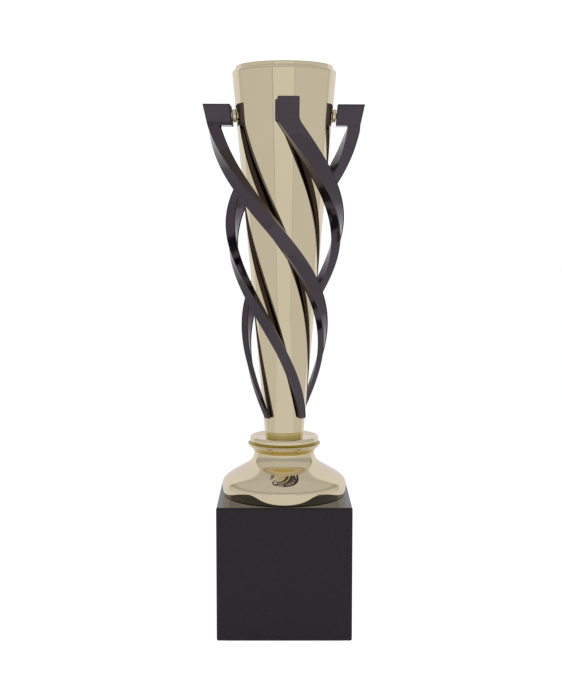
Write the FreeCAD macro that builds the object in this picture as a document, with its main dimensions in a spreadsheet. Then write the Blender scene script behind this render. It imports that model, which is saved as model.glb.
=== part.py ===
import FreeCAD, Part
import Sketcher
import math
import os

# Cup trophy: a tapered cup on a turned foot and a square plinth, with four twisted arms round the cup.
# Millimetres, +Z up. The origin is the centre of the underside, where the felt meets the table.
# -Y is the front. Every driving size is a cell of the sheet below.

FRONT = FreeCAD.Rotation(FreeCAD.Vector(0, 1, 0), 180)
UP = FreeCAD.Vector(0, 0, 1)
ARM_NAMES = ("front", "right", "back", "left")
ARM_STATIONS = 16
TINY = 1e-6

SIZES = {
    # square base
    "felt_thick": 1.0,
    "felt_inset": 4.0,
    "plinth_side": 90.0,
    "plinth_tall": 90.0,
    "plinth_edge": 1.2,
    "recess_radius": 12.0,
    "recess_deep": 14.0,
    # the rod that clamps the stack, with its washers and nuts
    "rod_radius": 3.0,
    "rod_hole": 3.3,
    "rod_spare": 2.0,
    "nut_clearance": 0.05,
    "nut_corner": 5.77,
    "nut_tall": 5.0,
    "base_washer_radius": 9.0,
    "cup_washer_radius": 8.0,
    "washer_thick": 1.6,
    # spun foot
    "foot_wall": 1.5,
    "foot_seat_radius": 41.9,
    "foot_widest_radius": 42.8,
    "foot_widest_up": 6.2,
    "shoulder_radius": 40.67,
    "shoulder_up": 12.0,
    "slope_radius": 27.2,
    "slope_up": 20.5,
    "waist_radius": 21.9,
    "waist_up": 25.0,
    "neck_radius": 20.45,
    "neck_up": 29.5,
    "bead_under_radius": 23.3,
    "bead_under_up": 33.2,
    "bead_top_radius": 23.4,
    "foot_tall": 37.4,
    "foot_top_thick": 3.0,
    "shoulder_bend": 6.0,
    "slope_bend": 79.0,
    "waist_bend": 11.0,
    "neck_bend": 13.0,
    "flare_bend": 6.2,
    "bead_bend": 2.25,
    "inner_waist_bend": 12.5,
    "inner_shoulder_bend": 4.6,
    # dished collar and plain ring between the foot and the cup
    "collar_low_radius": 23.2,
    "collar_rim_radius": 21.9,
    "collar_tall": 3.5,
    "dish_radius": 13.6,
    "dish_up": 1.7,
    "collar_bend": 2.1,
    "dish_bend": 22.0,
    "ring_radius": 12.9,
    "ring_tall": 4.5,
    "ring_chamfer": 0.3,
    # cup: a straight cone with a rounded shoulder, and a lip sleeve in its mouth
    "cup_foot_radius": 13.3,
    "cup_top_radius": 34.9,
    "cup_cone_tall": 242.4,
    "cup_wall": 1.2,
    "cup_floor": 3.0,
    "cup_edge_rise": 2.3,
    "cup_edge_inset": 1.95,
    "cup_edge_bend": 2.3,
    "lip_radius": 32.8,
    "lip_wall": 1.1,
    "lip_sleeve_tall": 14.0,
    "lip_above_cone": 4.7,
    "lip_bend": 0.56,
    # arms: the head block, then the spiral bar from the head's underside down to the tip.
    # swing is the turn round the cup in degrees, reach the bar's outer radius, wide and deep its section.
    "cup_turn": 2.3,
    "head_tall": 14.2,
    "head_wide": 15.0,
    "head_top_reach": 54.9,
    "head_low_reach": 51.8,
    "head_gap": 2.3,
    "head_edge": 1.3,
    "head_up": 197.2,
    "tip_above_cup": 10.6,
    "swing_head": 0.0,
    "swing_upper": 40.6,
    "swing_middle": 126.5,
    "swing_lower": 167.6,
    "swing_tip": 224.8,
    "reach_head": 51.7,
    "reach_upper": 40.1,
    "reach_middle": 36.3,
    "reach_lower": 29.7,
    "reach_tip": 18.0,
    "wide_head": 14.8,
    "wide_middle": 12.2,
    "wide_tip": 4.8,
    "deep_head": 9.4,
    "deep_middle": 5.75,
    "deep_tip": 3.2,
    # fixings between each arm and the cup
    "screw_up": 204.2,
    "screw_radius": 1.95,
    "screw_head_radius": 3.8,
    "screw_head_tall": 2.4,
    "screw_head_bend": 3.4,
    "screw_bite": 8.0,
    "tapped_radius": 2.0,
    "tapped_deep": 10.0,
    "screw_hole_radius": 2.2,
    "spacer_radius": 4.55,
    "spacer_long": 2.28,
    "spacer_edge": 0.4,
    "arm_washer_radius": 4.5,
    "arm_washer_thick": 0.8,
    "arm_washer_stand_off": 0.35,
    "peg_radius": 1.2,
    "peg_hole_radius": 1.3,
    "peg_above_tip": 5.0,
}

doc = FreeCAD.newDocument("cup_trophy")
sheet = doc.addObject("Spreadsheet::Sheet", "sizes")
for row, (alias, number) in enumerate(SIZES.items(), start=1):
    sheet.set(f"A{row}", alias)
    sheet.set(f"B{row}", str(number))
    sheet.setAlias(f"B{row}", alias)
doc.recompute()

parts = []


def keep(piece):
    """Note a finished sub-part, so that it is checked and written at the end."""
    parts.append(piece)
    return piece


def bound(formula):
    """Turn a formula in the sheet's words into an expression that other objects can hold."""
    words = formula.replace("(", " ( ").replace(")", " ) ").split()
    return " ".join(f"sizes.{word}" if word in SIZES else word for word in words)


def number(formula):
    """The present value of a formula in the sheet's words."""
    return float(sheet.evalExpression(bound(formula)))


def new_body(label, height="0"):
    """An empty body with its own label, standing at a height above the table."""
    body = doc.addObject("PartDesign::Body", label)
    body.Label = label
    body.setExpression("Placement.Base.z", bound(height))
    return body


def new_sketch(body, name, role, offset=None):
    """A sketch on one of the body's own origin planes."""
    sketch = body.newObject("Sketcher::SketchObject", name)
    plane = next(item for item in body.Origin.OriginFeatures if item.Role == role)
    sketch.AttachmentSupport = [(plane, "")]
    sketch.MapMode = "FlatFace"
    if offset is not None:
        sketch.AttachmentOffset = offset
    return sketch


def front_plane(body, name, along=0.0, up=0.0, tilt=0.0):
    """A sketch on the plane through the axis and the front: x runs forwards and y runs up.

    along and up move its origin, and tilt turns it downwards, in degrees.
    """
    base = FRONT.multVec(FreeCAD.Vector(along, up, 0))
    turn = FRONT.multiply(FreeCAD.Rotation(UP, -tilt))
    return new_sketch(body, name, "YZ_Plane", FreeCAD.Placement(base, turn))


def pin_point(sketch, geometry, end, x_formula, y_formula):
    """Hold one end of a line or arc at a point given by two formulas."""
    for kind, formula, axis in (("DistanceX", x_formula, -2), ("DistanceY", y_formula, -1)):
        if abs(number(formula)) < TINY:
            sketch.addConstraint(Sketcher.Constraint("PointOnObject", geometry, end, axis))
            continue
        index = sketch.addConstraint(Sketcher.Constraint(kind, -1, 1, geometry, end, number(formula)))
        sketch.setExpression(f"Constraints[{index}]", bound(formula))


def ends_of(point):
    """Start and end numbers of the run that ends at a point: an arc that bulges left is held reversed."""
    reversed_arc = len(point) == 3 and point[2].startswith("-")
    return (2, 1) if reversed_arc else (1, 2)


def draw_outline(sketch, points):
    """A closed outline through points (x, y) or (x, y, bend), with bend the radius of the arc to there.

    A bend bulges to the right of the arc's run, or with a minus sign before it to the left.
    """
    places = [FreeCAD.Vector(number(point[0]), number(point[1]), 0) for point in points]
    for index, point in enumerate(points):
        start = places[index - 1]
        end = places[index]
        if len(point) == 2:
            geometry = sketch.addGeometry(Part.LineSegment(start, end))
            pin_point(sketch, geometry, 2, point[0], point[1])
            continue
        bend = number(point[2])
        run = end - start
        sagitta = abs(bend) - math.sqrt(bend**2 - (run.Length / 2) ** 2)
        aside = FreeCAD.Vector(run.y, -run.x, 0).normalize() * math.copysign(sagitta, bend)
        arc = Part.Arc(start, (start + end) / 2 + aside, end)
        geometry = sketch.addGeometry(arc)
        pin_point(sketch, geometry, ends_of(point)[1], point[0], point[1])
        constraint = sketch.addConstraint(Sketcher.Constraint("Radius", geometry, abs(bend)))
        sketch.setExpression(f"Constraints[{constraint}]", bound(point[2].lstrip("- ")))
    for index, point in enumerate(points):
        before = (index - 1) % len(points)
        before_end = ends_of(points[before])[1]
        start_end = ends_of(point)[0]
        sketch.addConstraint(Sketcher.Constraint("Coincident", before, before_end, index, start_end))


def turn_outline(body, name, sketch, points, kind="Revolution", axis="V_Axis"):
    """Turn a closed outline about one of its sketch's axes, to add a solid or, as a Groove, to cut one."""
    draw_outline(sketch, points)
    feature = body.newObject(f"PartDesign::{kind}", name)
    feature.Profile = sketch
    feature.ReferenceAxis = (sketch, [axis])
    feature.Angle = 360
    return feature


def turned(body, name, points, kind="Revolution"):
    """A solid or a Groove turned on the vertical axis from (radius, height) points."""
    sketch = new_sketch(body, name + "_outline", "XZ_Plane")
    return turn_outline(body, name, sketch, points, kind)


def draw_rectangle(sketch, wide, deep, outer):
    """A rectangle astride the sketch's upright axis, with its upper side at the height outer."""
    half = number(wide) / 2
    top = number(outer)
    low = top - number(deep)
    corners = [FreeCAD.Vector(x, y, 0) for x, y in ((-half, low), (half, low), (half, top), (-half, top))]
    for index in range(4):
        sketch.addGeometry(Part.LineSegment(corners[index], corners[(index + 1) % 4]))
    for index in range(4):
        sketch.addConstraint(Sketcher.Constraint("Coincident", index, 2, (index + 1) % 4, 1))
    for level_side in (0, 2):
        sketch.addConstraint(Sketcher.Constraint("Symmetric", level_side, 1, level_side, 2, -2))
    sketch.addConstraint(Sketcher.Constraint("Vertical", 1))
    sizes = (
        (Sketcher.Constraint("DistanceX", 0, 1, 0, 2, 2 * half), wide),
        (Sketcher.Constraint("DistanceY", 1, 1, 1, 2, top - low), deep),
        (Sketcher.Constraint("DistanceY", -1, 1, 2, 1, top), outer),
    )
    for constraint, formula in sizes:
        index = sketch.addConstraint(constraint)
        sketch.setExpression(f"Constraints[{index}]", bound(formula))


def square_pad(body, name, side, tall):
    """A square block centred on the axis, pulled up from the body's own floor."""
    sketch = new_sketch(body, name + "_outline", "XY_Plane")
    draw_rectangle(sketch, side, side, f"( {side} ) / 2")
    feature = body.newObject("PartDesign::Pad", name)
    feature.Profile = sketch
    feature.setExpression("Length", bound(tall))
    return feature


def round_edges(body, name, base, radius, wanted):
    """Round the edges of a feature whose middle point passes the test."""
    doc.recompute()
    names = [
        f"Edge{index}"
        for index, edge in enumerate(base.Shape.Edges, start=1)
        if wanted(edge.valueAt((edge.FirstParameter + edge.LastParameter) / 2))
    ]
    feature = body.newObject("PartDesign::Fillet", name)
    feature.Base = (base, names)
    feature.setExpression("Radius", bound(radius))
    return feature


def four_times(body, name, feature):
    """Repeat a feature at quarter turns about the axis."""
    pattern = body.newObject("PartDesign::PolarPattern", name)
    pattern.Originals = [feature]
    axis = next(item for item in body.Origin.OriginFeatures if item.Role == "Z_Axis")
    pattern.Axis = (axis, [""])
    pattern.Angle = 360
    pattern.Occurrences = len(ARM_NAMES)
    body.Tip = pattern
    return pattern


# Levels above the table
SEAT = "felt_thick + plinth_tall"
FOOT_TOP = f"{SEAT} + foot_tall"
RING_SEAT = f"{FOOT_TOP} + dish_up"
CUP_SEAT = f"{RING_SEAT} + ring_tall"
CUP_FLOOR_TOP = f"{CUP_SEAT} + cup_floor"
TIP = f"{CUP_SEAT} + tip_above_cup"
RECESS_TOP = "felt_thick + recess_deep"

# The cells that shape the spiral bar, from its head to its tip
SWING = ("swing_head", "swing_upper", "swing_middle", "swing_lower", "swing_tip")
REACH = ("reach_head", "reach_upper", "reach_middle", "reach_lower", "reach_tip")
WIDE = ("wide_head", "wide_middle", "wide_tip")
DEEP = ("deep_head", "deep_middle", "deep_tip")

# The cone's slope, and its outer radius at a height above the arms' tips
TAPER = "( cup_top_radius - cup_foot_radius ) / cup_cone_tall"
TAPER_ANGLE = math.degrees(math.atan(number(TAPER)))


def cone_at(up):
    """Formula for the cup's outer radius at a height above the arms' tips."""
    return f"cup_foot_radius + ( tip_above_cup + {up} ) * {TAPER}"


def base_felt():
    body = new_body("base_felt")
    pad = square_pad(body, "felt_pad", "plinth_side - 2 * felt_inset", "felt_thick")
    half = number("plinth_side / 2 - felt_inset")
    round_edges(body, "felt_corners", pad, "felt_inset", lambda p: abs(p.x) + abs(p.y) > 2 * half - TINY)
    return keep(body)


def plinth():
    """The lacquered block, bored for the rod, with a recess underneath for its nut."""
    body = new_body("plinth", "felt_thick")
    block = square_pad(body, "plinth_block", "plinth_side", "plinth_tall")
    round_edges(body, "plinth_edges", block, "plinth_edge", lambda p: True)
    turned(
        body,
        "rod_way",
        [
            ("0", "0"),
            ("recess_radius", "0"),
            ("recess_radius", "recess_deep"),
            ("rod_hole", "recess_deep"),
            ("rod_hole", "plinth_tall"),
            ("0", "plinth_tall"),
        ],
        "Groove",
    )
    return keep(body)


def foot_bell():
    """The spun foot: a hollow bell with a waist and a rolled bead, closed at the top round the rod."""
    body = new_body("foot_bell", SEAT)
    turned(
        body,
        "bell",
        [
            ("foot_seat_radius", "0"),
            ("foot_widest_radius", "foot_widest_up"),
            ("shoulder_radius", "shoulder_up", "shoulder_bend"),
            ("slope_radius", "slope_up", "slope_bend"),
            ("waist_radius", "waist_up", "- waist_bend"),
            ("neck_radius", "neck_up", "- neck_bend"),
            ("bead_under_radius", "bead_under_up", "- flare_bend"),
            ("bead_top_radius", "foot_tall", "bead_bend"),
            ("rod_hole", "foot_tall"),
            ("rod_hole", "foot_tall - foot_top_thick"),
            ("neck_radius - foot_wall", "foot_tall - foot_top_thick"),
            ("neck_radius - foot_wall", "neck_up - foot_wall"),
            ("waist_radius - foot_wall", "waist_up - foot_wall / 2"),
            ("slope_radius - foot_wall / 2", "slope_up - foot_wall * 0.87", "inner_waist_bend"),
            ("shoulder_radius - foot_wall * 0.7", "shoulder_up - foot_wall * 0.72"),
            ("foot_widest_radius - foot_wall", "foot_widest_up", "- inner_shoulder_bend"),
            ("foot_seat_radius - foot_wall", "0"),
        ],
    )
    return keep(body)


def foot_collar():
    """The dished collar that tops the foot, with a rounded rim."""
    body = new_body("foot_collar", FOOT_TOP)
    turned(
        body,
        "collar",
        [
            ("rod_hole", "0"),
            ("collar_low_radius", "0"),
            ("collar_rim_radius", "collar_tall", "collar_bend"),
            ("dish_radius", "dish_up", "- dish_bend"),
            ("rod_hole", "dish_up"),
        ],
    )
    return keep(body)


def stem_ring():
    """The plain ring that the cup stands on, with its edges broken."""
    body = new_body("stem_ring", RING_SEAT)
    turned(
        body,
        "ring",
        [
            ("rod_hole", "0"),
            ("ring_radius - ring_chamfer", "0"),
            ("ring_radius", "ring_chamfer"),
            ("ring_radius", "ring_tall - ring_chamfer"),
            ("ring_radius - ring_chamfer", "ring_tall"),
            ("rod_hole", "ring_tall"),
        ],
    )
    return keep(body)


def swing_at(share):
    """Formula for the arm's swing round the cup, in degrees, at a share of its way down."""
    return blend(SWING, share)


def peg_swing():
    """How far round the cup the peg at the arm's tip lies from the arm's head, in degrees."""
    return number(swing_at(1 - number("peg_above_tip / head_up")))


def blend(cells, share):
    """Formula for a Bezier blend of cells at a share from 0 to 1."""
    order = len(cells) - 1
    terms = [
        f"{math.comb(order, index) * (1 - share) ** (order - index) * share**index:.6f} * {alias}"
        for index, alias in enumerate(cells)
    ]
    return " + ".join(terms)


def cup_body():
    """The cup: a thin cone with a floor, a shoulder rolled in at the mouth, and holes for the arms."""
    body = new_body("cup_body", CUP_SEAT)
    body.setExpression("Placement.Rotation.Angle", bound("cup_turn"))
    shoulder_top = "cup_cone_tall + cup_edge_rise"
    turned(
        body,
        "cone",
        [
            ("rod_hole", "0"),
            ("cup_foot_radius", "0"),
            ("cup_top_radius", "cup_cone_tall"),
            ("cup_top_radius - cup_edge_inset", shoulder_top, "cup_edge_bend"),
            ("cup_top_radius - cup_edge_inset", f"{shoulder_top} - cup_wall"),
            ("cup_top_radius - cup_wall", "cup_cone_tall"),
            (f"cup_foot_radius - cup_wall + cup_floor * {TAPER}", "cup_floor"),
            ("rod_hole", "cup_floor"),
        ],
    )
    for name, radius, up, swing in (
        ("screw_hole", "screw_hole_radius", "screw_up", 0.0),
        ("peg_hole", "peg_hole_radius", "peg_above_tip", peg_swing()),
    ):
        hole = radial_cylinder(
            body, "Subtractive", name, radius, "4 * cup_wall", "2 * cup_wall", up, "tip_above_cup", swing
        )
        four_times(body, name + "s", hole)
    return keep(body)


def radial_cylinder(body, kind, name, radius, long, back, up, base="0", swing=0.0):
    """A cylinder square to the cup's wall, starting a little way back inside the wall's outer face.

    up is measured from the arms' tips, which lie at the height base in the body. swing turns it
    round the cup from the front, in degrees.
    """
    cylinder = body.newObject(f"PartDesign::{kind}Cylinder", name)
    plane = next(item for item in body.Origin.OriginFeatures if item.Role == "XY_Plane")
    cylinder.AttachmentSupport = [(plane, "")]
    cylinder.MapMode = "FlatFace"
    cylinder.setExpression("Radius", bound(radius))
    cylinder.setExpression("Height", bound(long))
    along, height = behind_wall(up, number(back))
    lean = FreeCAD.Rotation(FreeCAD.Vector(1, 0, 0), 90 + TAPER_ANGLE)
    place = FreeCAD.Placement(FreeCAD.Vector(0, -along, number(base) + height), lean)
    around = FreeCAD.Placement(FreeCAD.Vector(), FreeCAD.Rotation(UP, swing))
    cylinder.AttachmentOffset = around.multiply(place)
    return cylinder


def behind_wall(up, back):
    """Radius and height of the point that lies back from the wall's outer face, square to the wall."""
    lean = math.radians(TAPER_ANGLE)
    return number(cone_at(up)) - back * math.cos(lean), number(up) + back * math.sin(lean)


def rim_ring():
    """The lip sleeve that sits in the cup's mouth and stands a little above it."""
    body = new_body("rim_ring", f"{CUP_SEAT} + cup_cone_tall + lip_above_cone - lip_sleeve_tall")
    turned(
        body,
        "lip",
        [
            ("lip_radius - lip_wall", "0"),
            ("lip_radius", "0"),
            ("lip_radius", "lip_sleeve_tall - lip_wall / 2"),
            ("lip_radius - lip_wall", "lip_sleeve_tall - lip_wall / 2", "lip_bend"),
        ],
    )
    return keep(body)


def arm(side, azimuth):
    """One cast arm: the head block, the spiral bar, the tapped hole and the locating peg at the tip."""
    body = new_body(f"arm_{side}", TIP)
    body.setExpression("Placement.Rotation.Angle", bound(f"cup_turn + {azimuth}"))
    head_block(body)
    spiral_bar(body)
    hole_long = "tapped_deep + head_gap"
    radial_cylinder(body, "Subtractive", "tapped_hole", "tapped_radius", hole_long, "0", "screw_up")
    peg_long = "cup_wall + deep_tip / 2"
    swing = peg_swing()
    radial_cylinder(
        body, "Additive", "locating_peg", "peg_radius", peg_long, "cup_wall", "peg_above_tip", swing=swing
    )
    return keep(body)


def head_block(body):
    """The block at the arm's head: its outer face runs on into the bar, its inner face follows the cup."""
    sketch = front_plane(body, "head_outline")
    draw_outline(
        sketch,
        [
            (f"{cone_at('head_up')} + head_gap", "head_up"),
            ("head_low_reach", "head_up"),
            ("head_top_reach", "head_up + head_tall"),
            (f"{cone_at('head_up + head_tall')} + head_gap", "head_up + head_tall"),
        ],
    )
    pad = body.newObject("PartDesign::Pad", "head_block")
    pad.Profile = sketch
    pad.setExpression("Length", bound("head_wide"))
    pad.Midplane = True
    low = number("head_up") + TINY
    inner = -number(f"{cone_at('head_up')} + head_gap") - TINY
    return round_edges(body, "head_edges", pad, "head_edge", lambda p: p.z > low or p.y > inner)


def spiral_bar(body):
    """The bar: level rectangular sections lofted down and round the cup, thinner towards the tip."""
    sections = []
    for station in range(ARM_STATIONS + 1):
        share = station / ARM_STATIONS
        reach = blend(REACH, share)
        wide = blend(WIDE, share)
        deep = blend(DEEP, share)
        sections.append(bar_section(body, station, share, reach, wide, deep))
    loft = body.newObject("PartDesign::AdditiveLoft", "spiral_bar")
    loft.Profile = sections[0]
    loft.Sections = sections[1:]
    return loft


def bar_section(body, station, share, reach, wide, deep):
    """One level rectangle of the bar, its outer side square to the radius."""
    overlap = 1.0 if station == 0 else 0.0
    up = number(f"head_up * {1 - share:.6f}") + overlap
    turn = FreeCAD.Rotation(UP, number(swing_at(share)) + 180)
    place = FreeCAD.Placement(FreeCAD.Vector(0, 0, up), turn)
    sketch = new_sketch(body, f"bar_section_{station:02d}", "XY_Plane", place)
    draw_rectangle(sketch, wide, deep, reach)
    return sketch


def round_bar(name, radius, long):
    """A plain cylinder from a radius and a length."""
    cylinder = doc.addObject("Part::Cylinder", name)
    cylinder.setExpression("Radius", bound(radius))
    cylinder.setExpression("Height", bound(long))
    return cylinder


def bored(label, blank, hole_radius, thick, height):
    """A blank with a round hole through it, set at a height above the table."""
    cut = doc.addObject("Part::Cut", label)
    cut.Label = label
    cut.Base = blank
    cut.Tool = round_bar(label + "_hole", hole_radius, thick)
    cut.setExpression("Placement.Base.z", bound(height))
    return keep(cut)


def washer(label, radius, height):
    blank = round_bar(label + "_blank", radius, "washer_thick")
    return bored(label, blank, "rod_hole", "washer_thick", height)


def nut(label, height):
    """A hexagon nut on the rod."""
    blank = doc.addObject("Part::Prism", label + "_blank")
    blank.Polygon = 6
    blank.setExpression("Circumradius", bound("nut_corner"))
    blank.setExpression("Height", bound("nut_tall"))
    return bored(label, blank, "rod_radius + nut_clearance", "nut_tall", height)


def tie_rod():
    """The threaded rod through the whole stack, from the base nut to the nut inside the cup."""
    bottom = f"{RECESS_TOP} - washer_thick - nut_tall - rod_spare"
    top = f"{CUP_FLOOR_TOP} + washer_thick + nut_tall + rod_spare"
    rod = round_bar("tie_rod", "rod_radius", f"{top} - ( {bottom} )")
    rod.Label = "tie_rod"
    rod.setExpression("Placement.Base.z", bound(bottom))
    return keep(rod)


def fixing(label, back, points):
    """Four equal turned fixings on the arms' screw axes, from (length, radius) points."""
    body = new_body(label, TIP)
    body.AllowCompound = True
    body.setExpression("Placement.Rotation.Angle", bound("cup_turn"))
    along, up = behind_wall("screw_up", number(back))
    sketch = front_plane(body, label + "_outline", along, up, TAPER_ANGLE)
    first = turn_outline(body, label + "_first", sketch, points, axis="H_Axis")
    four_times(body, label + "_four", first)
    return keep(body)


def arm_spacers():
    """The round distance pieces between the cup and the arms' heads."""
    fixing(
        "arm_spacers",
        "0",
        [
            ("0", "screw_hole_radius"),
            ("0", "spacer_radius - spacer_edge"),
            ("spacer_edge", "spacer_radius", "- spacer_edge"),
            ("spacer_long - spacer_edge", "spacer_radius"),
            ("spacer_long", "spacer_radius - spacer_edge", "- spacer_edge"),
            ("spacer_long", "screw_hole_radius"),
        ],
    )


def arm_washers():
    """The washers under the screws' heads, inside the cup."""
    fixing(
        "arm_washers",
        "cup_wall + arm_washer_stand_off + arm_washer_thick",
        [
            ("0", "screw_hole_radius"),
            ("0", "arm_washer_radius"),
            ("arm_washer_thick", "arm_washer_radius"),
            ("arm_washer_thick", "screw_hole_radius"),
        ],
    )


def arm_screws():
    """The round-headed screws that pull the arms onto the cup from inside it."""
    under_head = "cup_wall + arm_washer_stand_off + arm_washer_thick"
    tip = f"screw_head_tall + {under_head} + head_gap + screw_bite"
    fixing(
        "arm_screws",
        f"screw_head_tall + {under_head}",
        [
            ("0", "0"),
            ("0", "screw_head_radius / 2"),
            ("screw_head_tall", "screw_head_radius", "- screw_head_bend"),
            ("screw_head_tall", "screw_radius"),
            (tip, "screw_radius"),
            (tip, "0"),
        ],
    )


base_felt()
plinth()
foot_bell()
foot_collar()
stem_ring()
cup_body()
rim_ring()
for quarter, side in enumerate(ARM_NAMES):
    arm(side, 90 * quarter)
arm_spacers()
arm_washers()
arm_screws()
tie_rod()
washer("base_washer", "base_washer_radius", f"{RECESS_TOP} - washer_thick")
nut("base_nut", f"{RECESS_TOP} - washer_thick - nut_tall")
washer("cup_washer", "cup_washer_radius", CUP_FLOOR_TOP)
nut("cup_nut", f"{CUP_FLOOR_TOP} + washer_thick")
doc.recompute()

for thing in doc.Objects:
    if "Invalid" in thing.State or "Error" in thing.State:
        raise RuntimeError(f"{thing.Name} failed: {thing.State}")
os.makedirs("parts", exist_ok=True)
for piece in parts:
    if piece.Shape.isNull() or not piece.Shape.isValid():
        raise RuntimeError(f"{piece.Label} has no valid shape")
    piece.Shape.exportStep(f"parts/{piece.Label}.step")
    print(piece.Label, round(piece.Shape.Volume), "mm3")
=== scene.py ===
import math

import bmesh
import bpy
from mathutils import Matrix, Vector


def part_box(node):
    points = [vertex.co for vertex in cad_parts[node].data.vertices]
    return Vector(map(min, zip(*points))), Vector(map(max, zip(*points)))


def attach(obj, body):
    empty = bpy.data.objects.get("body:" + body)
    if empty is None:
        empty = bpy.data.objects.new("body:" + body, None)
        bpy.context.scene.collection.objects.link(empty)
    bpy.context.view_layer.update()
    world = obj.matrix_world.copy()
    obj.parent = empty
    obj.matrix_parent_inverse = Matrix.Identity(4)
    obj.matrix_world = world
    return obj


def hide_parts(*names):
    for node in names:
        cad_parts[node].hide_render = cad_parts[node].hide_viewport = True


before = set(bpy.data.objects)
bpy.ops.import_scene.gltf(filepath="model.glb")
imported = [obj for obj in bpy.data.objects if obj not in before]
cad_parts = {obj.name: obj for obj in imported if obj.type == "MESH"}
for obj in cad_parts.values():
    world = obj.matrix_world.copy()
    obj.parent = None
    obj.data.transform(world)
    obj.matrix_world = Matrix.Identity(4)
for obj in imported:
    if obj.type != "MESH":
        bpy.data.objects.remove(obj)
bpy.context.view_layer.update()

# Cup trophy, in metres in the CAD's frame: +Z up, -Y the front, z = 0 under the felt.
# Shapes below are written in millimetres and scaled by MM when their meshes are made.

MM = 0.001
QUARTERS = (("front", 0.0), ("right", 90.0), ("back", 180.0), ("left", 270.0))
CUP_TURN = 2.3


def low(node):
    """Height of a CAD node's underside, in millimetres."""
    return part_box(node)[0].z / MM


def high(node):
    """Height of a CAD node's top, in millimetres."""
    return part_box(node)[1].z / MM


# ---------------------------------------------------------------- materials


NOISE_LOW, NOISE_HIGH = 0.3, 0.7


class Shading:
    """A material's node tree, with short calls to add and join nodes."""

    def __init__(self, name):
        self.material = bpy.data.materials.new(name)
        self.material.use_nodes = True
        self.tree = self.material.node_tree
        self.shader = self.tree.nodes["Principled BSDF"]
        self.place = self.add("ShaderNodeTexCoord").outputs["Object"]

    def add(self, kind, **values):
        node = self.tree.nodes.new(kind)
        for key, value in values.items():
            setattr(node, key, value)
        return node

    def join(self, output, socket):
        self.tree.links.new(output, socket)

    def fixed(self, **values):
        """Values that are the same all over the surface."""
        for key, value in values.items():
            self.shader.inputs[key.replace("_", " ").title().replace("Ior", "IOR")].default_value = value

    def noise(self, scale, detail=2.0, stretch=(1.0, 1.0, 1.0)):
        """Noise in the object's own space; scale is in features per metre."""
        mapping = self.add("ShaderNodeMapping")
        mapping.inputs["Scale"].default_value = stretch
        self.join(self.place, mapping.inputs["Vector"])
        node = self.add("ShaderNodeTexNoise")
        node.inputs["Scale"].default_value = scale
        node.inputs["Detail"].default_value = detail
        self.join(mapping.outputs["Vector"], node.inputs["Vector"])
        return node.outputs["Fac"]

    def spread(self, factor, low_value, high_value):
        """A noise factor remapped, from the range that noise mostly keeps to, to run between two values."""
        node = self.add("ShaderNodeMapRange")
        node.inputs["From Min"].default_value = NOISE_LOW
        node.inputs["From Max"].default_value = NOISE_HIGH
        node.inputs["To Min"].default_value = low_value
        node.inputs["To Max"].default_value = high_value
        self.join(factor, node.inputs["Value"])
        return node.outputs["Result"]

    def tint(self, factor, first, second):
        """A colour mixed from two by a factor."""
        node = self.add("ShaderNodeMix", data_type="RGBA")
        self.join(factor, node.inputs["Factor"])
        node.inputs["A"].default_value = (*first, 1.0)
        node.inputs["B"].default_value = (*second, 1.0)
        return node.outputs["Result"]

    def bump(self, height, distance, under=None):
        """A bump from a height factor; distance is in metres."""
        node = self.add("ShaderNodeBump")
        node.inputs["Distance"].default_value = distance
        node.inputs["Strength"].default_value = 1.0
        self.join(height, node.inputs["Height"])
        if under is not None:
            self.join(under, node.inputs["Normal"])
        return node.outputs["Normal"]

    def finish(self, colour, roughness, normal):
        for output, socket in ((colour, "Base Color"), (roughness, "Roughness"), (normal, "Normal")):
            self.join(output, self.shader.inputs[socket])
        return self.material


def gold_material():
    """Polished pale gold plate: crisp, with a faint drift of tone, polish marks and a slight ripple."""
    m = Shading("champagne_gold")
    m.fixed(metallic=1.0)
    colour = m.tint(m.spread(m.noise(22.0), 0.0, 1.0), (0.785, 0.684, 0.486), (0.765, 0.660, 0.470))
    rough = m.spread(m.noise(140.0, 4.0, (1.0, 1.0, 0.35)), 0.028, 0.062)
    ripple = m.bump(m.noise(26.0, 1.0, (1.0, 1.0, 0.5)), 0.00003)
    lines = m.bump(m.noise(900.0, 2.0, (0.2, 0.2, 4.0)), 0.0000008, under=ripple)
    return m.finish(colour, rough, lines)


def gold_inside_material():
    """The cup's unpolished inside: the same gold, satin and a little cloudy."""
    m = Shading("champagne_gold_inside")
    m.fixed(metallic=0.7)
    colour = m.tint(m.spread(m.noise(120.0, 3.0), 0.0, 1.0), (0.680, 0.560, 0.350), (0.620, 0.500, 0.300))
    rough = m.spread(m.noise(90.0, 3.0), 0.42, 0.56)
    return m.finish(colour, rough, m.bump(m.noise(140.0, 2.0), 0.00001))


def yellow_gold_material(name, first, second):
    """Turned brass-gold: yellower, with fine turning lines round it."""
    m = Shading(name)
    m.fixed(metallic=1.0)
    colour = m.tint(m.spread(m.noise(60.0), 0.0, 1.0), first, second)
    rough = m.spread(m.noise(900.0, 3.0, (0.3, 0.3, 3.0)), 0.10, 0.22)
    lines = m.bump(m.noise(1500.0, 2.0, (0.05, 0.05, 2.0)), 0.000004)
    return m.finish(colour, rough, lines)


def nickel_material():
    """Black nickel plate over a polished casting: dark violet-grey, a slow ripple and faint wear."""
    m = Shading("black_nickel")
    m.fixed(metallic=1.0)
    colour = m.tint(m.spread(m.noise(45.0, 3.0), 0.0, 1.0), (0.092, 0.077, 0.092), (0.083, 0.069, 0.084))
    rough = m.spread(m.noise(260.0, 4.0), 0.07, 0.13)
    ripple = m.bump(m.noise(45.0, 1.0), 0.00012)
    return m.finish(colour, rough, ripple)


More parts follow.
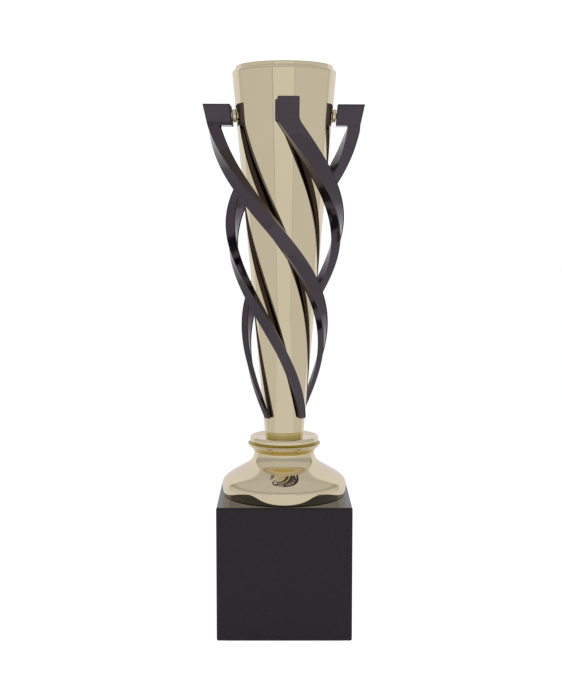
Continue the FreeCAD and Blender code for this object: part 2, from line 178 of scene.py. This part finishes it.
def lacquer_material():
    """Black piano lacquer on wood: glossy, slightly wavy, with a trace of orange peel and fine dust."""
    m = Shading("piano_lacquer")
    m.fixed(ior=1.42, specular_tint=(0.96, 0.88, 1.0, 1.0))
    colour = m.tint(m.spread(m.noise(500.0, 5.0), 0.0, 1.0), (0.007, 0.005, 0.006), (0.011, 0.009, 0.010))
    rough = m.spread(m.noise(70.0, 4.0), 0.035, 0.075)
    wave = m.bump(m.noise(30.0, 1.0), 0.00005)
    peel = m.bump(m.noise(260.0, 1.0), 0.000002, under=wave)
    return m.finish(colour, rough, peel)


THREAD_WAVES = 314.0


def steel_material(name, threads=False):
    """Zinc-plated steel: grey with a cool cast, satin, mottled; rods also carry their thread."""
    m = Shading(name)
    m.fixed(metallic=1.0)
    colour = m.tint(m.spread(m.noise(350.0, 4.0), 0.0, 1.0), (0.52, 0.54, 0.57), (0.63, 0.64, 0.64))
    rough = m.spread(m.noise(500.0, 4.0), 0.22, 0.42)
    normal = m.bump(m.noise(1800.0, 3.0), 0.000006)
    if threads:
        wave = m.add("ShaderNodeTexWave", bands_direction="Z")
        wave.inputs["Scale"].default_value = THREAD_WAVES
        m.join(m.place, wave.inputs["Vector"])
        normal = m.bump(wave.outputs["Fac"], 0.0004, under=normal)
    return m.finish(colour, rough, normal)


def felt_material():
    """Black-green pressed felt: matt, with matted fibres and pale flecks."""
    m = Shading("base_felt")
    m.fixed(sheen_weight=0.4, sheen_roughness=0.6)
    fibres = m.noise(2600.0, 6.0)
    colour = m.tint(m.spread(fibres, 0.0, 1.0), (0.010, 0.016, 0.012), (0.040, 0.052, 0.044))
    rough = m.spread(m.noise(500.0, 3.0), 0.88, 1.0)
    return m.finish(colour, rough, m.bump(fibres, 0.0002))


GOLD = gold_material()
GOLD_INSIDE = gold_inside_material()
YELLOW = yellow_gold_material("yellow_gold", (0.700, 0.600, 0.270), (0.660, 0.560, 0.240))
# The two darker golds below are painted shade for the foot's groove atop the bead and the cove under it
GROOVE_SHADE_GOLD = yellow_gold_material("yellow_gold_groove_painted_shade", (0.420, 0.300, 0.045), (0.370, 0.260, 0.036))
COVE_SHADE_GOLD = yellow_gold_material("yellow_gold_cove_painted_shade", (0.660, 0.515, 0.190), (0.620, 0.480, 0.170))
NICKEL = nickel_material()
LACQUER = lacquer_material()
STEEL = steel_material("zinc_steel")
THREAD = steel_material("zinc_steel_thread", threads=True)
FELT = felt_material()


# ------------------------------------------------------------------- meshes


def make_piece(name, points, faces, material, nodes):
    """A mesh piece from points in millimetres, standing for the CAD nodes it is named after."""
    mesh = bpy.data.meshes.new(name)
    mesh.from_pydata([Vector(p) * MM for p in points], [], faces)
    work = bmesh.new()
    work.from_mesh(mesh)
    bmesh.ops.recalc_face_normals(work, faces=work.faces)
    work.to_mesh(mesh)
    work.free()
    mesh.polygons.foreach_set("use_smooth", [True] * len(mesh.polygons))
    mesh.materials.append(material)
    piece = bpy.data.objects.new(name, mesh)
    bpy.context.scene.collection.objects.link(piece)
    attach(piece, "root")
    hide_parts(*nodes)
    return piece


ARC_STEPS = 10
CORNER_STEPS = 5
# How far from a flat's end the points lie that hold its shading
SUPPORT = 0.16
# Points nearer to each other than this are one
SAME = 1e-4
TURNED_SEGMENTS = 224
FINE_SEGMENTS = 256


def bent_run(start, end, bend):
    """Points from start to end in (radius, height), along an arc that bulges right of the run."""
    if not bend:
        return [start, end]
    run = end - start
    aside = Vector((run.y, -run.x)).normalized()
    reach = math.sqrt(bend**2 - (run.length / 2) ** 2)
    centre = (start + end) / 2 - aside * math.copysign(reach, bend)
    first = (start - centre).angle_signed(end - centre)
    points = []
    for step in range(ARC_STEPS + 1):
        turn = Matrix.Rotation(-first * step / ARC_STEPS, 2)
        points.append(centre + turn @ (start - centre))
    return points


def profile(points):
    """A closed profile from (radius, height, bend, corner): bend shapes the run that ends there.

    corner is how far the two runs that meet there are cut back to be joined by a round.
    """
    count = len(points)
    places = [Vector(p[:2]) for p in points]
    runs = [bent_run(places[i - 1], places[i], points[i][2]) for i in range(count)]
    outline = []
    for i in range(count):
        here = runs[i]
        before, after = points[i - 1][3], points[i][3]
        here = cut_back(here, before)
        here = cut_back(here[::-1], after)[::-1]
        if not points[i][2]:
            here = supported(here)
        outline += here
        follow = cut_back(runs[(i + 1) % count], after)[0]
        corner = places[i]
        for step in range(1, CORNER_STEPS):
            t = step / CORNER_STEPS
            outline.append(here[-1] * (1 - t) ** 2 + corner * 2 * t * (1 - t) + follow * t**2)
    clean = []
    for point in outline:
        if not clean or (point - clean[-1]).length > SAME:
            clean.append(point)
    if (clean[0] - clean[-1]).length < SAME:
        clean.pop()
    return clean


def cut_back(run, length):
    """A run of points with a length taken off its start."""
    run = list(run)
    while len(run) > 2 and (run[1] - run[0]).length <= length:
        length -= (run[1] - run[0]).length
        run.pop(0)
    if length > 0:
        run[0] = run[0].lerp(run[1], min(0.49, length / (run[1] - run[0]).length))
    return run


def supported(run):
    """A straight run with points added near its ends, so that its shading stays flat."""
    start, end = run[0], run[-1]
    share = min(0.25, SUPPORT / max((end - start).length, 1e-6))
    return [start, start.lerp(end, share), end.lerp(start, share), end]


def hexagon(radius, angle):
    """Radius of a hexagonal hole at an angle, from its across-flats half width."""
    return radius / math.cos((angle + math.pi / 6) % (math.pi / 3) - math.pi / 6)


def lathe(outline, segments, hexagonal=lambda point: False):
    """Points and faces of a closed profile turned on the vertical axis."""
    points, faces = [], []
    count = len(outline)
    for step in range(segments):
        angle = 2 * math.pi * step / segments
        for point in outline:
            radius = hexagon(point.x, angle) if hexagonal(point) else point.x
            points.append((radius * math.cos(angle), radius * math.sin(angle), point.y))
    for step in range(segments):
        here, there = step * count, (step + 1) % segments * count
        for i in range(count):
            j = (i + 1) % count
            faces.append((here + i, there + i, there + j, here + j))
    return points, faces


def turned_piece(name, node, material, outline, base, segments=TURNED_SEGMENTS):
    """A piece turned on the trophy's axis, standing on a height."""
    points, faces = lathe(profile(outline), segments)
    points = [(x, y, z + base) for x, y, z in points]
    return make_piece(name, points, faces, material, [node])


# --------------------------------------------------- foot, collar, ring, cup

ROD_HOLE = 3.3
FOOT_TOP = 128.4
FOOT_SEAT = 41.9
# The foot's slope from the horizontal, in degrees, at heights above its seat
FOOT_SLOPES = (
    (0.0, 97.0), (3.0, 98.5), (6.0, 98.3), (7.0, 92.9), (8.0, 84.5), (9.0, 73.7), (10.0, 61.9), (11.0, 51.5),
    (12.0, 44.0), (13.0, 39.3), (14.0, 35.7), (15.0, 32.5), (16.0, 30.6), (17.0, 29.6), (18.0, 29.5),
    (19.0, 29.4), (20.0, 29.3), (21.0, 30.4), (22.0, 34.0), (23.0, 42.2), (24.0, 53.5), (25.0, 62.9),
    (26.0, 67.7), (27.0, 70.3), (28.0, 73.4), (29.0, 83.6), (30.0, 102.4), (31.0, 124.7), (32.0, 137.9),
    (33.2, 143.5),
)
SLOPE_STEP = 0.1
SLOPE_EASE = (-0.8, -0.4, 0.0, 0.4, 0.8)
STEPS_A_POINT = 4
SEAT_ROUND = 0.25
# Faces of the foot in a deeper gold, painted shade in the groove atop the bead and in the cove under it:
# lowest and highest centre above the seat, and least radius
GROOVE_SHADE = (35.9, 37.38, 22.0)
COVE_SHADE = (29.8, 33.0, 20.6)


def slope_at(height):
    """The foot's slope at a height, read off its table in straight steps."""
    for (low_at, low_slope), (high_at, high_slope) in zip(FOOT_SLOPES, FOOT_SLOPES[1:]):
        if height <= high_at:
            share = (height - low_at) / (high_at - low_at)
            return low_slope + (high_slope - low_slope) * share
    return FOOT_SLOPES[-1][1]


def foot_outline():
    """The foot's profile: its slopes added up from the seat, then the bead, the bore and the inside."""
    outline = [Vector((FOOT_SEAT - SEAT_ROUND, 0.0)), Vector((FOOT_SEAT - 0.07, 0.07))]
    radius, height = FOOT_SEAT, SEAT_ROUND
    while height < FOOT_SLOPES[-1][0]:
        middle = height + SLOPE_STEP / 2
        slope = sum(slope_at(max(0.0, middle + shift)) for shift in SLOPE_EASE) / len(SLOPE_EASE)
        if int(height / SLOPE_STEP + 0.5) % STEPS_A_POINT == 0:
            outline.append(Vector((radius, height)))
        radius -= SLOPE_STEP / math.tan(math.radians(slope))
        height += SLOPE_STEP
    bead = profile([
        (radius, height, 0, 0.0),
        (24.2, 34.0, 0, 0.5),
        (25.05, 35.4, -1.9, 0.2),
        (24.6, 36.25, 1.0, 0.1),
        (23.6, 36.9, -1.2, 0.1),
        (23.5, 37.4, 0, 0.1),
        (ROD_HOLE, 37.4, 0, 0.2),
        (ROD_HOLE, 34.4, 0, 0.2),
        (18.95, 34.4, 0, 0.4),
        (18.95, 28.0, 0, 0.8),
        (20.4, 24.25, 0, 1.0),
        (26.45, 19.2, 12.5, 1.0),
        (39.6, 10.9, 0, 0.6),
        (41.3, 6.2, -4.6, 0.8),
        (40.4, 0.0, 0, 0.0),
    ])
    # The profile's first run closes it back to its start, so it is left off
    first = min(range(len(bead)), key=lambda i: (bead[i] - Vector((radius, height))).length)
    return outline + bead[first:]


foot_points, foot_faces = lathe(foot_outline(), FINE_SEGMENTS)
foot_base = low("foot_bell")
foot = make_piece(
    "foot_spun_bell", [(x, y, z + foot_base) for x, y, z in foot_points], foot_faces, GOLD,
    ["foot_bell"],
)
# The groove and the cove faces take the darker golds: painted shade in those recesses
foot.data.materials.append(GROOVE_SHADE_GOLD)
foot.data.materials.append(COVE_SHADE_GOLD)
for face in foot.data.polygons:
    height = face.center.z / MM - foot_base
    reach = Vector(face.center.xy).length / MM
    for index, (least, most, out) in enumerate((GROOVE_SHADE, COVE_SHADE), start=1):
        if least < height < most and reach > out:
            face.material_index = index
turned_piece(
    "foot_dished_collar", "foot_collar", GOLD,
    [
        (ROD_HOLE, 0.0, 0, 0.15),
        (23.4, 0.0, 0, 0.25),
        (23.55, 1.9, 0, 0.3),
        (22.0, 3.5, 1.7, 0.5),
        (13.6, 1.7, -22.0, 0.5),
        (ROD_HOLE, 1.7, 0, 0.15),
    ],
    FOOT_TOP,
)
turned_piece(
    "stem_plain_ring", "stem_ring", YELLOW,
    [
        (ROD_HOLE, 0.0, 0, 0.15),
        (12.9, 0.0, 0, 0.3),
        (12.9, 4.5, 0, 0.3),
        (ROD_HOLE, 4.5, 0, 0.15),
    ],
    low("stem_ring"),
)
CUP_SEAT = low("cup_body")
CONE_TALL = 242.4
CONE_LOW = 13.3
CONE_TOP = 34.9
TAPER = (CONE_TOP - CONE_LOW) / CONE_TALL
WALL = 1.2
FLOOR = 3.0
cone = turned_piece(
    "cup_cone", "cup_body", GOLD,
    [
        (ROD_HOLE, 0.0, 0, 0.15),
        (CONE_LOW, 0.0, 0, 0.35),
        (CONE_TOP, CONE_TALL, 0, 0.35),
        (32.95, CONE_TALL + 2.3, 2.3, 0.2),
        (32.95, CONE_TALL + 1.1, 0, 0.1),
        (CONE_TOP - WALL, CONE_TALL, 0, 0.2),
        (CONE_LOW - WALL + FLOOR * TAPER, FLOOR, 0, 0.5),
        (ROD_HOLE, FLOOR, 0, 0.15),
    ],
    CUP_SEAT,
    FINE_SEGMENTS,
)
cone.data.materials.append(GOLD_INSIDE)
# The inside wall faces the axis, and the floor and the shoulder face up or down
for face in cone.data.polygons:
    if face.normal.xy.dot(face.center.xy) < 0 and abs(face.normal.z) < 0.5:
        face.material_index = 1
turned_piece(
    "cup_lip_sleeve", "rim_ring", GOLD,
    [
        (31.7, 0.0, 0, 0.2),
        (32.8, 0.0, 0, 0.2),
        (32.8, 13.89, 0, 0.45),
        (31.7, 13.89, 0, 0.5),
    ],
    low("rim_ring"),
    FINE_SEGMENTS,
)

# --------------------------------------------------------------------- arms

# Controls of the arm's blends from the head, at the first value, to the tip: degrees round, then millimetres
SWING = (0.0, 40.6, 126.5, 167.6, 224.8)
REACH = (51.75, 40.1, 36.3, 29.7, 18.0)
WIDE = (14.9, 12.2, 4.8)
DEEP = (9.4, 5.75, 3.2)
TIP = low("arm_front")
HEAD_LOW = TIP + 197.2
HEAD_TOP = high("arm_front")
HEAD_TOP_REACH = 54.9
HEAD_GAP = 2.3
TURN_SOFT = 2.2
HEAD_ROUND = 1.0
STEP_ROUND = 0.7
TIP_ROUND = 1.1
BAR_STATIONS = 150
# Corner rounds of the bar and of the head, and the drop over which one becomes the other
EDGE = 0.4
HEAD_EDGE = 0.9
LEAST_EDGE = 0.12
EDGE_START = 1.0
EDGE_RUN = 5.0
EDGE_STEPS = 4
HEAD_STEP = 1.2
END_STEPS = 6
STEP_STEPS = 5
CAP_INSETS = (1.6, SUPPORT)
# At the head's top the outer face keeps sharper than the sides
TOP_OUTER_SHARE = 0.3
TOP_EDGE_SHARE = 0.5


def blend(controls, share):
    """A Bezier blend of control values."""
    order = len(controls) - 1
    terms = zip(range(order + 1), controls)
    return sum(math.comb(order, i) * (1 - share) ** (order - i) * share**i * value for i, value in terms)


def cone_radius(height):
    """The cup's outside radius at a height."""
    return CONE_LOW + (height - CUP_SEAT) * TAPER


def section(height, shrink=0.0, deep_share=1.0):
    """One level section of an arm: (height, swing, outer, inner, half width, corner).

    shrink draws its sides in, for a rounded end. deep_share runs from 0, the bar's depth, to 1, the head's.
    """
    below = HEAD_LOW - height
    soft = (below + TURN_SOFT) ** 2 / (4 * TURN_SOFT) if abs(below) < TURN_SOFT else max(below, 0.0)
    swing = blend(SWING, soft / (HEAD_LOW - TIP))
    share = max(below, 0.0) / (HEAD_LOW - TIP)
    outer = blend(REACH, share)
    half = blend(WIDE, share) / 2
    inner = outer - blend(DEEP, share)
    if below < 0:
        outer += (HEAD_TOP_REACH - REACH[0]) * -below / (HEAD_TOP - HEAD_LOW)
    if below <= 0:
        inner = inner + (cone_radius(height) + HEAD_GAP - inner) * deep_share
    fade = min(1.0, max(0.0, (below + EDGE_START) / EDGE_RUN))
    edge = HEAD_EDGE + (EDGE - HEAD_EDGE) * fade * fade * (3 - 2 * fade)
    outer_share, edge_share = (TOP_OUTER_SHARE, TOP_EDGE_SHARE) if below < 0 else (1.0, 1.0)
    edge = max(edge - shrink * edge_share, LEAST_EDGE)
    return height, math.radians(swing), outer - shrink * outer_share, inner + shrink, half - shrink, edge


def quarter_turn(steps):
    """Angles of a quarter turn, ends included."""
    return [math.pi / 2 * step / steps for step in range(steps + 1)]


def arm_sections():
    """All the sections of an arm from its head to its tip."""
    sections = [section(HEAD_TOP, HEAD_ROUND + inset) for inset in CAP_INSETS]
    sections += [
        section(HEAD_TOP - HEAD_ROUND * (1 - math.cos(a)), HEAD_ROUND * (1 - math.sin(a)))
        for a in quarter_turn(END_STEPS)
    ]
    stop = HEAD_LOW + STEP_ROUND
    height = sections[-1][0]
    while height - HEAD_STEP > stop:
        height -= HEAD_STEP
        sections.append(section(height))
    full = cone_radius(HEAD_LOW) + HEAD_GAP
    thin = REACH[0] - DEEP[0]
    for a in quarter_turn(STEP_STEPS):
        drop = STEP_ROUND * math.sin(a)
        back = STEP_ROUND * (1 - math.cos(a)) / (thin - full)
        sections.append(section(stop - drop, deep_share=1 - back))
    for share in (0.6, 0.2, 0.03, 0.0):
        sections.append(section(HEAD_LOW, deep_share=share))
    long = HEAD_LOW - TIP
    for step in range(1, BAR_STATIONS):
        down = (long - TIP_ROUND) * step / BAR_STATIONS
        sections.append(section(HEAD_LOW - down))
    for a in quarter_turn(END_STEPS):
        sections.append(section(TIP + TIP_ROUND * (1 - math.sin(a)), TIP_ROUND * (1 - math.cos(a))))
    sections.append(section(TIP, TIP_ROUND + SUPPORT))
    return sections


def section_loop(height, swing, outer, inner, half, edge):
    """The points round one section, with its corners rounded and its flats divided to shade evenly."""
    around = []
    corners = ((outer, half), (inner, half), (inner, -half), (outer, -half))
    for index, (reach, aside) in enumerate(corners):
        centre = Vector((
            reach - math.copysign(edge, reach - (outer + inner) / 2),
            aside - math.copysign(edge, aside),
        ))
        for step in range(EDGE_STEPS + 1):
            angle = math.radians(90 - 90 * index - 90 * step / EDGE_STEPS)
            around.append(centre + edge * Vector((math.cos(angle), math.sin(angle))))
    loop = []
    for index, point in enumerate(around):
        loop.append(point)
        if index % (EDGE_STEPS + 1) == EDGE_STEPS:
            follow = around[(index + 1) % len(around)]
            support = min(0.2, SUPPORT / max((follow - point).length, 1e-6))
            loop += [point.lerp(follow, share) for share in (support, 0.35, 0.65, 1 - support)]
    forward = Vector((math.sin(swing), -math.cos(swing)))
    side = Vector((math.cos(swing), math.sin(swing)))
    return [(*(forward * reach + side * aside), height) for reach, aside in loop]


def arm_mesh(turn):
    """Points and faces of one arm, turned round the cup."""
    loops = []
    for height, swing, outer, inner, half, edge in arm_sections():
        loops.append(section_loop(height, swing + turn, outer, inner, half, edge))
    count = len(loops[0])
    points = [point for loop in loops for point in loop]
    faces = [tuple(range(count)), tuple(range(len(points) - count, len(points)))[::-1]]
    for row in range(len(loops) - 1):
        here, there = row * count, (row + 1) * count
        for i in range(count):
            j = (i + 1) % count
            faces.append((here + i, here + j, there + j, there + i))
    return points, faces


for side_name, azimuth in QUARTERS:
    arm_points, arm_faces = arm_mesh(math.radians(CUP_TURN + azimuth))
    make_piece(
        f"arm_cast_{side_name}", arm_points, arm_faces, NICKEL, [f"arm_{side_name}"]
    )

# ----------------------------------------------------------------- fixings

SCREW_UP = 204.2
LEAN = math.atan(TAPER)
FIX_SEGMENTS = 72


def fixings(name, node, material, outline, back, hexagonal=lambda point: False):
    """Four equal turned pieces on the arms' screw axes; back is how far inside the wall they start."""
    points, faces = [], []
    turned, ring_faces = lathe(profile(outline), FIX_SEGMENTS, hexagonal)
    height = TIP + SCREW_UP
    start = Vector((cone_radius(height) - back * math.cos(LEAN), 0.0, height + back * math.sin(LEAN)))
    tilt = Matrix.Rotation(math.pi / 2 + LEAN, 3, "Y")
    for _, azimuth in QUARTERS:
        spin = Matrix.Rotation(math.radians(CUP_TURN + azimuth - 90), 3, "Z")
        first = len(points)
        points += [spin @ (start + tilt @ Vector(p)) for p in turned]
        faces += [tuple(first + i for i in face) for face in ring_faces]
    return make_piece(name, points, faces, material, [node])


SPACER_HOLE = 2.2
SPACER_RADIUS = 4.55
SPACER_LONG = 2.28
fixings(
    "arm_round_spacers", "arm_spacers", GOLD,
    [
        (SPACER_HOLE, 0.0, 0, 0.1),
        (SPACER_RADIUS, 0.0, 0, 0.4),
        (SPACER_RADIUS, SPACER_LONG, 0, 0.4),
        (SPACER_HOLE, SPACER_LONG, 0, 0.1),
    ],
    0.0,
)
WASHER_STAND_OFF = 0.35
WASHER_THICK = 0.8
UNDER_HEAD = WALL + WASHER_STAND_OFF + WASHER_THICK
HEAD_TALL = 2.4
SHANK = 1.95
SHANK_LONG = 12.0
AXIS = 0.02
SOCKET = 1.25
SOCKET_DEEP = 1.2
fixings(
    "arm_socket_screws", "arm_screws", STEEL,
    [
        (AXIS, SOCKET_DEEP, 0, 0.0),
        (SOCKET, SOCKET_DEEP, 0, 0.05),
        (SOCKET, 0.05, 0, 0.1),
        (1.9, 0.0, 0, 0.1),
        (3.8, HEAD_TALL, -3.4, 0.1),
        (SHANK, HEAD_TALL, 0, 0.1),
        (SHANK, HEAD_TALL + SHANK_LONG, 0, 0.3),
        (AXIS, HEAD_TALL + SHANK_LONG, 0, 0.0),
    ],
    UNDER_HEAD + HEAD_TALL,
    lambda point: SOCKET - 0.35 < point.x < SOCKET + 0.1 and point.y < SOCKET_DEEP + 0.1,
)

# ------------------------------------------------------ CAD nodes that stay

for node_name, finish in (
    ("plinth", LACQUER),
    ("base_felt", FELT),
    ("tie_rod", THREAD),
    ("base_washer", STEEL),
    ("base_nut", STEEL),
    ("cup_washer", STEEL),
    ("cup_nut", STEEL),
    ("arm_washers", STEEL),
):
    for material_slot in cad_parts[node_name].material_slots:
        material_slot.material = finish

# -------------------------------------------------------------------- stage


def stage_plane(name, x, y, material, height=0.0):
    """A level rectangle of the stage, from its x and y limits in metres."""
    mesh = bpy.data.meshes.new(name)
    corners = [(x[0], y[0], height), (x[1], y[0], height), (x[1], y[1], height), (x[0], y[1], height)]
    mesh.from_pydata(corners, [], [(0, 1, 2, 3)])
    mesh.materials.append(material)
    plane = bpy.data.objects.new(name, mesh)
    bpy.context.scene.collection.objects.link(plane)
    return plane


def floor_material(name, emission):
    """A matt white that glows a little, so that it renders near white."""
    m = Shading(name)
    for socket, value in (
        ("Specular IOR Level", 0.0),
        ("Roughness", 0.9),
        ("Base Color", (0.5, 0.5, 0.5, 1.0)),
        ("Emission Color", (1.0, 1.0, 1.0, 1.0)),
        ("Emission Strength", emission),
    ):
        m.shader.inputs[socket].default_value = value
    return m.material


# The table that the gloss mirrors ends near the trophy; the floor that is seen runs on to the horizon
TABLE = 0.76
TABLE_SIDE = 0.35
TABLE_GLOW = 0.45
FLOOR_REACH = 30
FLOOR_GLOW = 0.70
FLOOR_DROP = 0.0005
table_top = stage_plane(
    "table", (-TABLE_SIDE, TABLE_SIDE), (-TABLE, TABLE), floor_material("table", TABLE_GLOW)
)
table_top.visible_camera = False
table_top.visible_shadow = False
floor_limits = (-FLOOR_REACH, FLOOR_REACH)
floor = stage_plane("floor", floor_limits, floor_limits, floor_material("floor", FLOOR_GLOW), -FLOOR_DROP)
for ray in ("visible_glossy", "visible_diffuse", "visible_shadow", "visible_transmission"):
    setattr(floor, ray, False)

# -------------------------------------------------------------------- light
# The studio is a world that differs by direction: what the gloss mirrors, and white behind the object.

world = bpy.data.worlds.new("studio")
bpy.context.scene.world = world
world.use_nodes = True
tree = world.node_tree
tree.nodes.clear()


def wnode(kind, **values):
    """A node of the world's tree."""
    node = tree.nodes.new(kind)
    for key, value in values.items():
        setattr(node, key, value)
    return node


def calc(operation, first, second=0.0, third=0.0):
    """A sum on numbers or node outputs."""
    node = wnode("ShaderNodeMath", operation=operation)
    for socket, value in zip(node.inputs, (first, second, third)):
        if isinstance(value, (int, float)):
            socket.default_value = value
        else:
            tree.links.new(value, socket)
    return node.outputs[0]


def inverse(value):
    return calc("SUBTRACT", 1.0, value)


def between(first, second, share):
    """first where share is 0 and second where it is 1."""
    return calc("ADD", calc("MULTIPLY", first, inverse(share)), calc("MULTIPLY", share, second))


def smooth(value, start, end):
    """0 below start and 1 above end, eased."""
    node = wnode("ShaderNodeMapRange", interpolation_type="SMOOTHSTEP")
    node.inputs["From Min"].default_value = start
    node.inputs["From Max"].default_value = end
    tree.links.new(value, node.inputs["Value"])
    return node.outputs["Result"]


direction = wnode("ShaderNodeTexCoord").outputs["Generated"]
split = wnode("ShaderNodeSeparateXYZ")
tree.links.new(direction, split.inputs[0])
forward = calc("MULTIPLY", split.outputs["Y"], -1.0)
azimuth = calc("DEGREES", calc("ARCTAN2", split.outputs["X"], forward))
elevation = calc("DEGREES", calc("ARCSINE", split.outputs["Z"]))
camera_ray = wnode("ShaderNodeLightPath").outputs["Is Camera Ray"]

# In front: grey, with a brighter band between two narrow dark lines, at azimuths in degrees
GREY, BAND, LINE = 0.67, 0.76, 0.30
BAND_LEFT, BAND_RIGHT = -26.1, 23.2
BAND_EDGE = 0.3
LINES = ((BAND_LEFT, 0.7), (BAND_RIGHT, 0.5))
in_band = calc(
    "MULTIPLY",
    smooth(azimuth, BAND_LEFT - BAND_EDGE, BAND_LEFT + BAND_EDGE),
    inverse(smooth(azimuth, BAND_RIGHT - BAND_EDGE, BAND_RIGHT + BAND_EDGE)),
)
level = calc("MULTIPLY_ADD", in_band, BAND - GREY, GREY)
for line_at, wide in LINES:
    offset = calc("ABSOLUTE", calc("SUBTRACT", azimuth, line_at))
    near_line = inverse(smooth(offset, wide * 0.5, wide * 1.4))
    level = calc("SUBTRACT", level, calc("MULTIPLY", near_line, LINE))

# Higher up: plain grey, with a darker stretch at middle elevations
HIGH, SHADE = 0.61, 0.47
shade = calc("SUBTRACT", smooth(elevation, 8.0, 12.0), smooth(elevation, 28.0, 34.0))
upper = calc("MULTIPLY_ADD", shade, SHADE - HIGH, HIGH)
level = between(level, upper, smooth(elevation, 6.0, 14.0))

# Behind: white, past a slightly darker rim, and tinted lavender straight behind
BACK, RIM = 0.84, 0.05
LAVENDER = (0.94, 0.91, 1.0, 1.0)
rim = calc("SUBTRACT", smooth(forward, -0.53, -0.50), smooth(forward, -0.44, -0.30))
level = calc("SUBTRACT", level, calc("MULTIPLY", rim, RIM))
level = between(level, BACK, inverse(smooth(forward, -0.56, -0.51)))
tinted = calc("MULTIPLY", smooth(calc("ABSOLUTE", azimuth), 140.0, 165.0), inverse(camera_ray))

# Seen by the camera itself: plain white
BACKDROP = 1.1
level = between(level, BACKDROP, camera_ray)

background = wnode("ShaderNodeBackground")
tint = wnode("ShaderNodeMix", data_type="RGBA")
mix_factor, mix_first, mix_second = tint.inputs[0], tint.inputs[6], tint.inputs[7]
mix_first.default_value = (1.0, 1.0, 1.0, 1.0)
mix_second.default_value = LAVENDER
tree.links.new(tinted, mix_factor)
tree.links.new(tint.outputs[2], background.inputs["Color"])
tree.links.new(level, background.inputs["Strength"])
output = wnode("ShaderNodeOutputWorld")
tree.links.new(background.outputs[0], output.inputs[0])

# ------------------------------------------------------------------- camera

IMAGE_TALL = 690
HALF_PIXEL = 0.5 / IMAGE_TALL
PITCH = 84.3687
camera_data = bpy.data.cameras.new("camera")
camera_data.sensor_width = 36.0
camera_data.lens = 61.10
camera_data.shift_x = -HALF_PIXEL
camera_data.shift_y = HALF_PIXEL
camera = bpy.data.objects.new("camera", camera_data)
camera.location = (-0.00187, -0.79991, 0.27281)
camera.rotation_euler = (math.radians(PITCH), 0.0, 0.0)
bpy.context.scene.collection.objects.link(camera)
bpy.context.scene.camera = camera
bpy.context.scene.view_settings.view_transform = "Standard"
bpy.context.scene.view_settings.look = "None"
